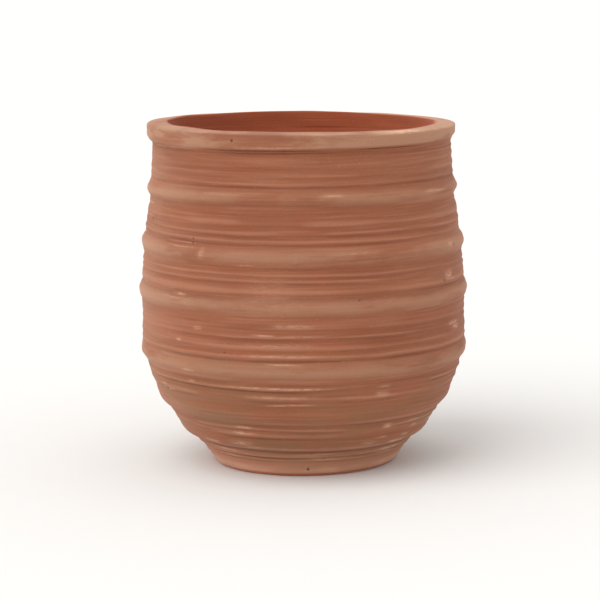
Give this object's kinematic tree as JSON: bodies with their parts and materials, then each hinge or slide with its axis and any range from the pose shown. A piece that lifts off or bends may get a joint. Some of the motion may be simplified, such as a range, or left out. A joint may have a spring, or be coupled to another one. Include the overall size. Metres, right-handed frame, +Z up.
{
  "type": "terracotta jar planter",
  "caption": "Round hand-thrown terracotta planter with a swelling belly, raised bands, fine throwing ribs, a collared rim and a drain hole.",
  "frame": {"origin": "centre of the underside, on the ground", "axes": "+Z up along the pot's axis of revolution; the pot is round, so +X and +Y are arbitrary"},
  "size_m": [0.4034, 0.4034, 0.416],
  "materials": {
    "body_clay": "matt unglazed terracotta, wheel-thrown",
    "foot_clay": "matt unglazed terracotta, darker and redder at the foot",
    "band_clay": "matt unglazed terracotta, pale bloom on the crown",
    "rim_clay": "matt unglazed terracotta, buff slip"
  },
  "bodies": {
    "root": {"base_slab": "foot_clay", "foot_ring": "foot_clay", "heel_wall": "body_clay", "bowl_wall": "body_clay", "belly_wall": "body_clay", "waist_wall": "body_clay", "shoulder_wall": "body_clay", "neck_wall": "body_clay", "rim_collar": "rim_clay", "low_band": "band_clay", "belly_band": "band_clay", "shoulder_band": "band_clay", "neck_band": "band_clay"}
  },
  "joints": []
}
